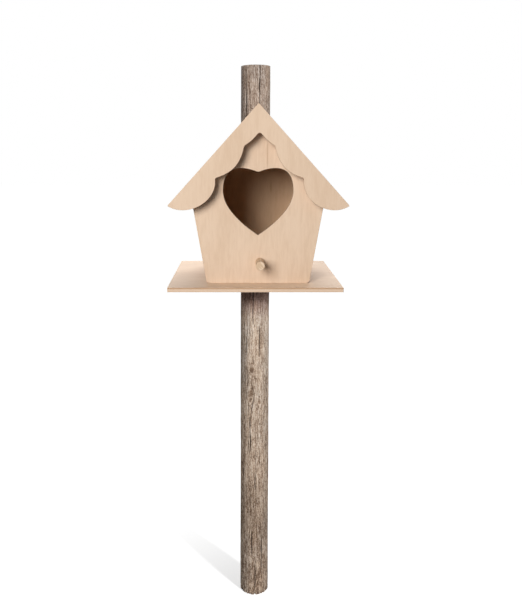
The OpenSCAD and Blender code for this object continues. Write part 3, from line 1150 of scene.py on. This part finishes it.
# %% The stake's rows
ROUND = 288
RIM = 0.7
KNOTTY_LOW, KNOTTY_HIGH = 268, 346
ROWS_BELOW, ROWS_KNOTTY, ROWS_ABOVE = 92, 84, 118
# The softened rim at both ends has two rows: how far up it they lie and how far they are drawn in.
RIM_ROWS = np.array([0, 0.35]) * RIM
RIM_INSETS = np.array([1, 0.3]) * RIM
# The flat seat of the house ends a little over the ridge. Two rows close together draw its edge.
SEAT_OVER_RIDGE = 3.0
SEAT_LOW, SEAT_HIGH = floor_z, ridge_z + SEAT_OVER_RIDGE
SEAT_EDGE = 0.01


def stake_rows():
    """Heights of the rows, and how far each is drawn in for the softened rims at both ends."""
    seat = np.array([SEAT_LOW - SEAT_EDGE, SEAT_LOW, SEAT_HIGH, SEAT_HIGH + SEAT_EDGE])
    below = np.linspace(RIM, KNOTTY_LOW, ROWS_BELOW)[:-1]
    knotty = np.linspace(KNOTTY_LOW, KNOTTY_HIGH, ROWS_KNOTTY)
    above = np.linspace(KNOTTY_HIGH, post_top - RIM, ROWS_ABOVE)[1:]
    body = np.sort(np.concatenate([below, knotty, above, seat]))
    z = np.concatenate([RIM_ROWS, body, post_top - RIM_ROWS[::-1]])
    return z, np.concatenate([RIM_INSETS, np.zeros_like(body), RIM_INSETS[::-1]])


print("rows up the stake", len(stake_rows()[0]))

# %% The stake's surface
TAPER = 0.7
SEAT_Y = box_mm("back_wall")[1][1]
# The waves: how many, the fewest and most round the stake, the length of one up it.
FINE = (70, 45, 120, 26)
COARSE = (40, 14, 44, 60)
BROAD = (20, 3, 12, 260)
CHIPPED = (24, 6, 40, 14)
# Depths in millimetres, the rings in a knot's radius, and how high up the foot the chips reach.
FINE_DEPTH, COARSE_DEPTH, BROAD_DEPTH = 0.16, 0.22, 0.10
RING_DEPTH, CHIP_DEPTH, BLACK_DEPTH = 0.28, 1.3, 1.2
KNOT_RINGS = 2.6
CHIPS_UP = 9.0
# A wave is raised before it is cut off, so that hollows take up more or less of the surface.
FINE_RAISED, COARSE_RAISED, BROAD_RAISED, CHIPS_RAISED = 0.6, 0.3, 1.0, 0.2
# Shares of the waves in how deep the hollows are, and how dark a knot is between its rings.
FINE_SUNK, COARSE_SUNK = 0.25, 0.2
KNOT_LEAST = 0.15


def cut_off(wave, raised):
    """A wave, raised by some of its spread and cut off below 0 and above 2."""
    return np.clip(wave + raised, 0, 2)


def stake_surface():
    """Places, straight-wood places and wear of a grid that runs up the stake.

    The radius is the stake's own, less a slight taper, the fibres' hollows, the checks, the rings of
    the knots and the chips at the foot. The front is then cut flat where the house is seated. The
    wear is how deep the checks, how deep the hollows and how dark the rings of the knots are there.
    """
    z, inset = stake_rows()
    turn = np.linspace(-math.pi, math.pi, ROUND, endpoint=False)
    turn, z = np.meshgrid(turn, z)
    bent, knot, rings_at = straightened(turn, z)
    fine, coarse, broad = (waves(bent, z, *kind) for kind in (FINE, COARSE, BROAD))
    hollow = FINE_DEPTH * cut_off(fine, FINE_RAISED) + COARSE_DEPTH * cut_off(coarse, COARSE_RAISED)
    hollow += BROAD_DEPTH * cut_off(broad, BROAD_RAISED)
    crack = check_depth(bent, z)
    ring = 0.5 + 0.5 * np.cos(2 * math.pi * rings_at * KNOT_RINGS)
    chips = np.clip(1 - z / CHIPS_UP, 0, 1) ** 2 * cut_off(waves(turn, z, *CHIPPED), CHIPS_RAISED)
    radius = post_r - TAPER * z / post_top - hollow - crack - RING_DEPTH * knot * ring
    radius -= CHIP_DEPTH * chips + inset[:, None]
    x, y = radius * np.cos(turn), radius * np.sin(turn)
    seated = (z >= SEAT_LOW) & (z <= SEAT_HIGH)
    places = np.stack([x, np.where(seated, np.maximum(y, SEAT_Y), y), z], 2)
    straight = np.stack([post_r * np.cos(bent), post_r * np.sin(bent), z], 2)
    black = np.clip(crack / BLACK_DEPTH, 0, 1)
    sunk = np.clip(0.5 + FINE_SUNK * fine + COARSE_SUNK * coarse, 0, 1)
    worn = np.stack([black, sunk, knot * (KNOT_LEAST + (1 - KNOT_LEAST) * ring)], 2)
    return places, straight, worn


print("seat at y", round(SEAT_Y, 1))

# %% The stake's mesh
END_RINGS = 9


def end_rings(edge):
    """Rings that run from an edge in to its middle, evenly, and never quite reach it."""
    share = np.linspace(1, 0, END_RINGS + 1)[1:-1, None, None]
    middle = edge.mean(0) * (0, 0, 1)
    return middle + (edge - middle) * share


def stacked(foot, side, top, ends):
    """One list of points: the foot's rings, the side's rows, the top's rings and the two end points."""
    return np.vstack([np.concatenate([foot, side, top]).reshape(-1, 3), ends])


def stake(material):
    """The closed mesh: the side's grid, both ends' rings and a fan of triangles at each middle.

    The wear runs on over the foot, and fades on the top as 1 - the root of the share of the way in.
    """
    places, straight, worn = stake_surface()
    top, foot = end_rings(places[-1]), end_rings(places[0])[::-1]
    share = np.linspace(0, 1, END_RINGS + 1)[1:-1, None, None]
    worn_foot, worn_top = np.broadcast_to(worn[0], foot.shape), worn[-1] * (1 - share**0.5)
    middles = np.array([(0, 0, 0), (0, 0, post_top)])
    points = stacked(foot, places, top, middles)
    faces = [face[::-1] for face in fanned_faces(ROUND, len(points) // ROUND)]
    piece = put_mesh("weathered_stake", points * MM, faces, material)
    put_vectors(piece, "straight", stacked(foot, straight, top, middles) * MM)
    put_vectors(piece, "worn", stacked(worn_foot, worn, worn_top, np.zeros_like(middles)))
    return piece


print("rings on each end", END_RINGS - 1)

# %% [markdown]
# Its colour comes in layers: a grey-beige sun-bleached wood, brown where the hollows keep the damp, nearly
# black in the checks. It is greyer at the top, where the rain reaches it, and browner at the foot. The
# mesh says how deep its checks, hollows and knot rings are at each point, so the dark lies where the
# carving is. All fibres are noise on the straight wood, so that the grain bends with the surface.

# %% The weathered wood's fibres
BLEACHED = (0.490, 0.395, 0.315)
PALEST = (0.62, 0.53, 0.45)
WORN_BROWN = (0.270, 0.190, 0.135)
DAMP = (0.105, 0.068, 0.048)
# How light the fibres are: less in the hollows. The spread round the middle value grows at the foot,
# and the middle is shown as the second, lighter one.
HOLLOW_DARKER = 0.18
ROUGHER_FOOT = 0.65
MIDDLE_LIGHT, SHOWN_LIGHT = 0.36, 0.46


def old_wood_fibres(tree, straight, sunk, foot):
    """Colour from bleached fibres to damp hollows, stronger at the foot; also gives the two fibre noises."""
    fibre = noise(tree, straight, (1000, 1000, 130), detail=4, rough=0.65, distort=0.6)
    strand = noise(tree, straight, (420, 420, 30), rough=0.6, distort=0.6, shift=(1.3, 0, 0))
    patch = noise(tree, straight, (75, 75, 30), rough=0.6, distort=0.5, shift=(0, 4.1, 0))
    speck = noise(tree, straight, (850, 850, 420), rough=0.65, shift=(5.1, 0, 0))
    shares = ((fibre, 0.34), (strand, 0.18), (speck, 0.33), (patch, 0.15))
    light = mixture(tree, *((fade(tree, kind, 0.3, 0.7), share) for kind, share in shares))
    light = calc(tree, "SUBTRACT", light, product(tree, sunk, HOLLOW_DARKER))
    rougher = calc(tree, "MULTIPLY_ADD", foot, ROUGHER_FOOT, 1.0)
    light = calc(tree, "MULTIPLY_ADD", calc(tree, "SUBTRACT", light, MIDDLE_LIGHT), rougher, SHOWN_LIGHT)
    colour = ramp(tree, light, [(0.12, DAMP), (0.36, WORN_BROWN), (0.60, BLEACHED), (0.85, PALEST)])
    return colour, fibre, strand


print("weathered wood from", DAMP, "to", PALEST)

# %% The weather's tints, and painted shade
# Each tint: how strong it is, and its colour.
FOOT_TINT = (0.75, (0.60, 0.54, 0.49))
HEAD_TINT = (0.85, (0.66, 0.65, 0.68))
LEFT_PAINTED_SHADE_TINT = (0.15, (0.62, 0.64, 0.66))
GREYED_TINT = (0.7, (0.84, 0.90, 0.97))
UNDER_BOARD_SHADE_TINT = (1.0, (1.10, 0.90, 0.93))
# Where they are, in metres: the greyer head, the painted shade on the left side, and the painted reddish
# shade on the front under the floor board, by height and from front to back.
HEAD_UP = (0.56, 0.70)
LEFT_PAINTED_SHADE_SIDE = (-0.019, -0.004)
UNDER_BOARD_SHADE_UP = (0.400, 0.440, 0.470, 0.490)
UNDER_BOARD_SHADE_BACK = (-0.012, 0.004)
# How light the lower part is, by height in metres: paler at the foot, with a damp belt above it.
TONES = [(0.0, 1.20), (0.060, 1.16), (0.085, 1.0), (0.105, 0.85), (0.150, 0.84), (0.180, 1.0), (0.230, 0.96),
         (0.350, 0.94), (0.400, 1.0)]
TONE_TOP, BRIGHTEST = 0.400, 1.20


def tinted(tree, where, colour, strength, by):
    """A colour with one of the weather's tints, as far as it is there."""
    return tint(tree, product(tree, where, strength), colour, by)


def weather_tints(tree, colour, place, straight, foot):
    """Multiplies the colour by tints: at the foot and head, painted shade on the left, in patches, by height,
    and painted shade under the floor board.
    """
    x, y, z = (place[axis] for axis in "XYZ")
    greyed = noise(tree, straight, (38, 38, 12), detail=2, shift=(2.2, 0, 6.0))
    colour = tinted(tree, foot, colour, *FOOT_TINT)
    colour = tinted(tree, fade(tree, z, *HEAD_UP), colour, *HEAD_TINT)
    # Painted shade: the stake's left side is darkened, as the shade on that side.
    colour = tinted(tree, fall(tree, x, *LEFT_PAINTED_SHADE_SIDE), colour, *LEFT_PAINTED_SHADE_TINT)
    colour = tinted(tree, fade(tree, greyed, 0.40, 0.62), colour, *GREYED_TINT)
    # A ramp ends at 1, so the tones go in as shares of the brightest one, and that is multiplied back.
    tones = [(height / TONE_TOP, (share / BRIGHTEST,) * 3) for height, share in TONES]
    colour = tint(tree, 1.0, colour, ramp(tree, calc(tree, "DIVIDE", z, TONE_TOP), tones))
    colour = tint(tree, 1.0, colour, (BRIGHTEST,) * 3)
    # Painted shade: the front just under the floor board turns redder, as the colour of the board's shadow
    # there.
    under_board_shade = product(tree, band(tree, z, *UNDER_BOARD_SHADE_UP), fall(tree, y, *UNDER_BOARD_SHADE_BACK))
    return tinted(tree, under_board_shade, colour, *UNDER_BOARD_SHADE_TINT)


print("tones by height", len(TONES))

# %% The weathered wood's cracks
CRACK = (0.022, 0.014, 0.011)
KNOT_BROWN = (0.11, 0.065, 0.040)
# How much of the darker colour covers the wood there.
SPLIT_COVER, KNOT_COVER, CRACK_COVER, RIM_COVER = 0.75, 0.75, 0.95, 0.8
# Heights in metres up to which the foot is more split, and over which its rim is cut.
SPLIT_UP = 0.15
RIM_UP = (0.001, 0.011)


def old_wood_cracks(tree, colour, z, straight, worn):
    """Darkens short splits, the knots' rings, the checks and the foot's rim; also gives the splits."""
    short = noise(tree, straight, (900, 900, 150), rough=0.55, distort=0.5, shift=(7.7, 0, 0))
    ragged = fade(tree, z, 0.0, SPLIT_UP, 0.085, 0.0)
    splits = fade(tree, calc(tree, "ADD", short, ragged), 0.57, 0.66)
    colour = blend(tree, product(tree, splits, SPLIT_COVER), colour, DAMP)
    colour = blend(tree, product(tree, worn["Z"], KNOT_COVER), colour, KNOT_BROWN)
    colour = blend(tree, fade(tree, worn["X"], 0.10, 0.75, 0.0, CRACK_COVER), colour, CRACK)
    cuts = fade(tree, noise(tree, straight, (230, 230, 12), detail=2, shift=(4.4, 0, 0)), 0.48, 0.60)
    cuts = product(tree, cuts, fall(tree, z, *RIM_UP))
    return blend(tree, product(tree, cuts, RIM_COVER), colour, DAMP), splits


def old_wood_material():
    """Weathered wood in three layers: its fibres, the weather's tints over them, and the cracks on top."""
    material, tree = new_material("weathered_stake_wood")
    straight = own_vector(tree, "straight")
    worn = split(tree, own_vector(tree, "worn"))
    place = split(tree, object_place(tree))
    foot = fall(tree, place["Z"], 0.02, 0.36)
    colour, fibre, strand = old_wood_fibres(tree, straight, worn["Y"], foot)
    colour = weather_tints(tree, colour, place, straight, foot)
    colour, splits = old_wood_cracks(tree, colour, place["Z"], straight, worn)
    height = mixture(tree, (fibre, 0.6), (strand, 0.6), (splits, -0.5))
    finish_material(tree, colour, height, roughness=0.85, strength=0.7, distance=0.0006, specular=0.15)
    return material


stands_for(stake(old_wood_material()), "post")

# %% [markdown]
# ## The perch
# A turned dowel, let through the front. Its section along the axis is carried round in a circle:
# straight sides, a sanded chamfer and a nearly flat sawn end. Noise that is fine across the dowel and
# long along it gives fibres on the side and pores on the end from one recipe, as in real wood. The
# yearly rings lie slanting across its end, so its own coordinates are turned an eighth round.

# %% The turned dowel
DOWEL_PALE = (0.760, 0.585, 0.430)
DOWEL_DARK = (0.620, 0.445, 0.295)
EIGHTH_TURN = np.array([[1, 0, -1], [0, math.sqrt(2), 0], [1, 0, 1]]) / math.sqrt(2)


def turned(name, profile, origin, count, material):
    """A profile of (radius, way along +Y) carried round: x = r cos t, z = r sin t, closed at both ends."""
    t = np.linspace(0, 2 * math.pi, count, endpoint=False)
    r, along = profile[:, 0, None], profile[:, 1, None]
    grid = np.stack([r * np.cos(t), along + 0 * t, r * np.sin(t)], 2)
    ends = np.array([(0, profile[0, 1], 0), (0, profile[-1, 1], 0)])
    points = np.vstack([grid.reshape(-1, 3), ends])
    piece = put_mesh(name, (points + origin) * MM, fanned_faces(count, len(profile)), material)
    put_vectors(piece, "grain", points @ EIGHTH_TURN * MM)
    return piece


def dowel_material():
    """Pale hardwood: long fibres on the side, pores and faint slanting rings on the end."""
    material, tree = new_material("turned_dowel_wood")
    where = own_vector(tree, "grain")
    fibre = noise(tree, where, (1100, 50, 1100), rough=0.6, distort=0.2)
    rings_seen = noise(tree, where, (420, 6, 90), detail=1, distort=0.3, shift=(2.0, 0, 0))
    tone = mixture(tree, (fade(tree, fibre, 0.3, 0.7), 0.3), (fade(tree, rings_seen, 0.42, 0.58), 1.0))
    colour = blend(tree, fade(tree, tone, 0.2, 0.9), DOWEL_PALE, DOWEL_DARK)
    finish_material(tree, colour, fibre, roughness=0.55, strength=0.15, distance=0.0002, specular=0.25)
    return material


dowel_wood = dowel_material()
print("made", dowel_wood.name)

# %% The perch
CHAMFER, DOME, BACK_CHAMFER = 0.7, 0.15, 0.5
# How far the side's first and last rows lie from the chamfer and from the back end.
SIDE_IN = 1.0
FACE_STEPS, CHAMFER_STEPS, SIDE_ROWS, PERCH_ROUND = 8, 6, 24, 64


def perch_profile(r, front, back):
    """The dowel's half section: a slightly domed end, a round chamfer, the side and a plain back end."""
    turn = np.linspace(0, math.pi / 2, CHAMFER_STEPS)
    flat_r = r - CHAMFER
    face = np.linspace((0, front), (flat_r, front + DOME), FACE_STEPS)[1:-1]
    chamfer = np.stack([flat_r + CHAMFER * np.sin(turn), front + DOME + CHAMFER * (1 - np.cos(turn))], 1)
    side = np.linspace((r, chamfer[-1, 1] + SIDE_IN), (r, back - SIDE_IN), SIDE_ROWS)
    end = [(r, back - BACK_CHAMFER), (r - BACK_CHAMFER, back), (r - 2 * BACK_CHAMFER, back)]
    return np.vstack([face, chamfer, side, end])


low, high = box_mm("perch")
perch_r = (high[0] - low[0]) / 2
perch_axis = (low + high) / 2 * (1, 0, 1)
perch = turned("dowel_perch", perch_profile(perch_r, low[1], high[1]), perch_axis, PERCH_ROUND, dowel_wood)
stands_for(perch, "perch")

# %% [markdown]
# ## The screws
# Two screws go from inside the house through the back wall into the stake. A domed head with a cross
# for the driver and a thread are each one formula on the same grid: the cross lowers the head where
# a point lies close to one of two lines, and the thread is a wave that climbs as it goes round.

# %% Zinc plate
ZINC_PALE = (0.62, 0.62, 0.60)
ZINC_DULL = (0.48, 0.49, 0.50)


def zinc_material():
    """Zinc plate: bright metal with faint cloudy spots and fine turning marks."""
    material, tree = new_material("zinc_plate")
    place = object_place(tree)
    cloud = noise(tree, place, (700, 700, 700), rough=0.6)
    marks = noise(tree, place, (300, 4000, 300), detail=2)
    colour = blend(tree, fade(tree, cloud, 0.35, 0.7), ZINC_PALE, ZINC_DULL)
    dull = fade(tree, cloud, 0.3, 0.7, 0.28, 0.45)
    finish_material(tree, colour, marks, dull, strength=0.15, distance=0.0001, specular=0.5, metallic=1.0)
    return material


zinc = zinc_material()
print("made", zinc.name)

# %% The head and the thread
HEAD_ROWS, SHANK_ROWS, SCREW_ROUND = 26, 150, 96
HEAD_T, DOME_DEPTH, DOME_IN, MIDDLE_R = 2.5, 0.9, 0.3, 0.08
# The head's rim: how far in from its edge, and how deep, each row of points lies.
HEAD_RIM = [(0.1, 0.98), (0, 1.2), (0, HEAD_T - 0.2), (0.15, HEAD_T)]
# The cross: half its width, its reach and its depth, and how wide its slopes are at the side and the end.
CROSS_HALF, CROSS_REACH, CROSS_DEPTH = 0.55, 2.4, 1.5
CROSS_SIDE, CROSS_END = 0.2, 0.6
# The shank's radius, the lengths of its plain part and its point, and the tip's share of the radius.
SHANK_R, PLAIN_L, POINT_L, TIP_SHARE = 2.0, 6.0, 4.0, 0.04
# The neck under the head: how much wider it is than the shank, and how long.
NECK_R, NECK_L = 0.3, 0.2
# The thread: its pitch, its depth, and the length over which it gets that deep.
THREAD_PITCH, THREAD_DEPTH, THREAD_START = 1.8, 0.45, 1.5


def screw_head(t, head_r):
    """Radii and depths of the head: a dome that falls off with r^2, lowered along two lines, and its rim."""
    r = np.linspace(MIDDLE_R, head_r - DOME_IN, HEAD_ROWS)[:, None]
    near_line = np.minimum(np.abs(r * np.sin(t)), np.abs(r * np.cos(t)))
    sunk = np.clip((CROSS_HALF - near_line) / CROSS_SIDE, 0, 1)
    sunk = sunk * np.clip((CROSS_REACH - r) / CROSS_END, 0, 1)
    dome = DOME_DEPTH * (r / head_r) ** 2 + CROSS_DEPTH * sunk
    rim = [(head_r - inset, depth) for inset, depth in HEAD_RIM]
    rim = np.array([*rim, (SHANK_R + NECK_R, HEAD_T)])[:, :, None]
    return np.concatenate([r + 0 * t, rim[:, 0] + 0 * t]), np.concatenate([dome, rim[:, 1] + 0 * t])


def screw_shank(t, length):
    """Radii and depths of the shank: a ridge where pitches along, less turns round, is a whole number."""
    along = np.linspace(HEAD_T + NECK_L, length, SHANK_ROWS)[:, None]
    ridge = np.abs(((along / THREAD_PITCH - t / (2 * math.pi)) % 1) * 2 - 1) ** 2
    taper = np.clip((length - along) / POINT_L, TIP_SHARE, 1)
    threaded = np.clip((along - HEAD_T - PLAIN_L) / THREAD_START, 0, 1)
    return (SHANK_R - THREAD_DEPTH * (1 - ridge) * threaded) * taper, along + 0 * t


print("turns of thread in 10 mm", round(10 / THREAD_PITCH, 1))

# %% The screws
def screw(name, node, material):
    """Head and shank on one grid of angle and way along, with a point at each end."""
    low, high = box_mm(node)
    length = high[1] - low[1]
    t = np.linspace(0, 2 * math.pi, SCREW_ROUND, endpoint=False)[None]
    parts = zip(screw_head(t, (high[0] - low[0]) / 2), screw_shank(t, length))
    radii, depth = (np.concatenate(pair) for pair in parts)
    grid = np.stack([radii * np.cos(t), depth, radii * np.sin(t)], 2)
    ends = np.array([(0, CROSS_DEPTH, 0), (0, length, 0)])
    start = (low + high) / 2 * (1, 0, 1) + (0, low[1], 0)
    places = np.vstack([grid.reshape(-1, 3), ends]) + start
    stands_for(put_mesh(name, places * MM, fanned_faces(t.size, len(grid)), material), node)


for node in ("upper_screw", "lower_screw"):
    screw(node.replace("screw", "cross_screw"), node, zinc)

# %% [markdown]
# ## The inner strips
# Planed softwood strips hold the boards together from inside: one in each corner, a cleat along the
# foot of each side, one along the ridge, and a batten under each front edge of the roof. They are
# boards with small sections, so the board helper makes them too. Their own coordinates follow each
# strip's length, so that the grain does as well.

# %% Planed softwood
PINE_BROWN = (0.42, 0.26, 0.14)


def softwood_material():
    """Planed pine: yearly rings as bands across the strip, fibres drawn out along it."""
    material, tree = new_material("planed_softwood")
    where = own_vector(tree, "grain")
    ring = noise(tree, where, (300, 8, 300), detail=1, rough=0.4, distort=0.6)
    fibre = noise(tree, where, (1300, 40, 1300), rough=0.6, distort=0.2)
    colour = ramp(tree, ring, [
        (0.30, (0.66, 0.46, 0.28)), (0.52, (0.62, 0.42, 0.25)), (0.60, (0.46, 0.27, 0.14))])
    colour = blend(tree, fade(tree, fibre, 0.4, 0.8, 0.0, 0.3), colour, PINE_BROWN)
    finish_material(tree, colour, fibre, roughness=0.6, strength=0.2, distance=0.0002, specular=0.2)
    return material


softwood = softwood_material()
print("made", softwood.name)

# %% The ridge strip
STRIP_R = 0.4
ridge_strip_half = 8.0
ridge_strip_h = 8.0


def strip(node, outline, across, along, through):
    """A strip from its section and its grain's three directions; its node says where it starts and ends."""
    low, high = box_mm(node)
    wood = ((0, low[1], low[2]), across, along, through)
    stands_for(board("planed_" + node, outline, low[1], high[1], UPRIGHT, wood, softwood), node)


shoulder = under_ridge_z - ridge_strip_half * math.tan(roof_slope)
strip("ridge_strip", soft_polygon([
    (0, under_ridge_z), (ridge_strip_half, shoulder), (ridge_strip_half, shoulder - ridge_strip_h),
    (-ridge_strip_half, shoulder - ridge_strip_h), (-ridge_strip_half, shoulder)], STRIP_R), X, Y, Z)

# %% The strips at the sides
strip_w = 10.0
cleat_h = 10.0
batten_w = 10.0
batten_short = 8.0

corner = leaning(wall_t, wall_t + strip_w, STRIP_R)
cleat_inner = lean_x(wall_t + strip_w, 0)
cleat = soft_polygon([
    (lean_x(wall_t, 0), floor_z), (lean_x(wall_t, cleat_h), floor_z + cleat_h),
    (cleat_inner, floor_z + cleat_h), (cleat_inner, floor_z)], STRIP_R)
batten = slope(roof_t, roof_t + batten_w, slope_l - eave_setback - batten_short)
for side, flip in SIDES:
    mirror = np.array([flip, 1, 1])
    for end in ("front", "back"):
        strip(f"{end}_{side}_strip", corner * (flip, 1), Y, side_axis * mirror, side_inward * mirror)
    strip(f"{side}_floor_cleat", cleat * (flip, 1), X, Y, Z)
    strip(f"{side}_trim_batten", batten * (flip, 1), Y, down_slope * mirror, into_slope * mirror)

# %% [markdown]
# ## Flags for the lamps
# A flag in a studio is a black board that keeps a lamp off what it shouldn't light. Boards would
# cast shadows of their own here, so light linking is used: a lamp gets a collection of the pieces that
# take its light. Every piece still casts its shadow in every lamp. The house, the stake and the floor
# each have their own lamps, and only the one behind lights house and stake together.

# %% Which lamp lights what
def lights_only(lit_by, pieces):
    """Flags a lamp so that only some pieces take its light."""
    lit = bpy.data.collections.new("lit_by_" + lit_by.name)
    for piece in pieces:
        lit.objects.link(piece)
    lit_by.light_linking.receiver_collection = lit


solids = [o for o in bpy.context.scene.objects if o.type == "MESH" and o != floor]
on_stake = [o for o in solids if o.name in ("weathered_stake", "post")]
on_house = [o for o in solids if o not in on_stake]
for name in ("house_lamp", "right_lamp"):
    lights_only(lamps[name], on_house)
for name in ("stake_lamp", "left_lamp"):
    lights_only(lamps[name], on_stake)
lights_only(lamps["board_lamp"], [floor_board])
lights_only(lamps["floor_lamp"], [floor])
lights_only(lamps["back_lamp"], solids)

# %% Close the file: the box of all that is shown
low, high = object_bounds()
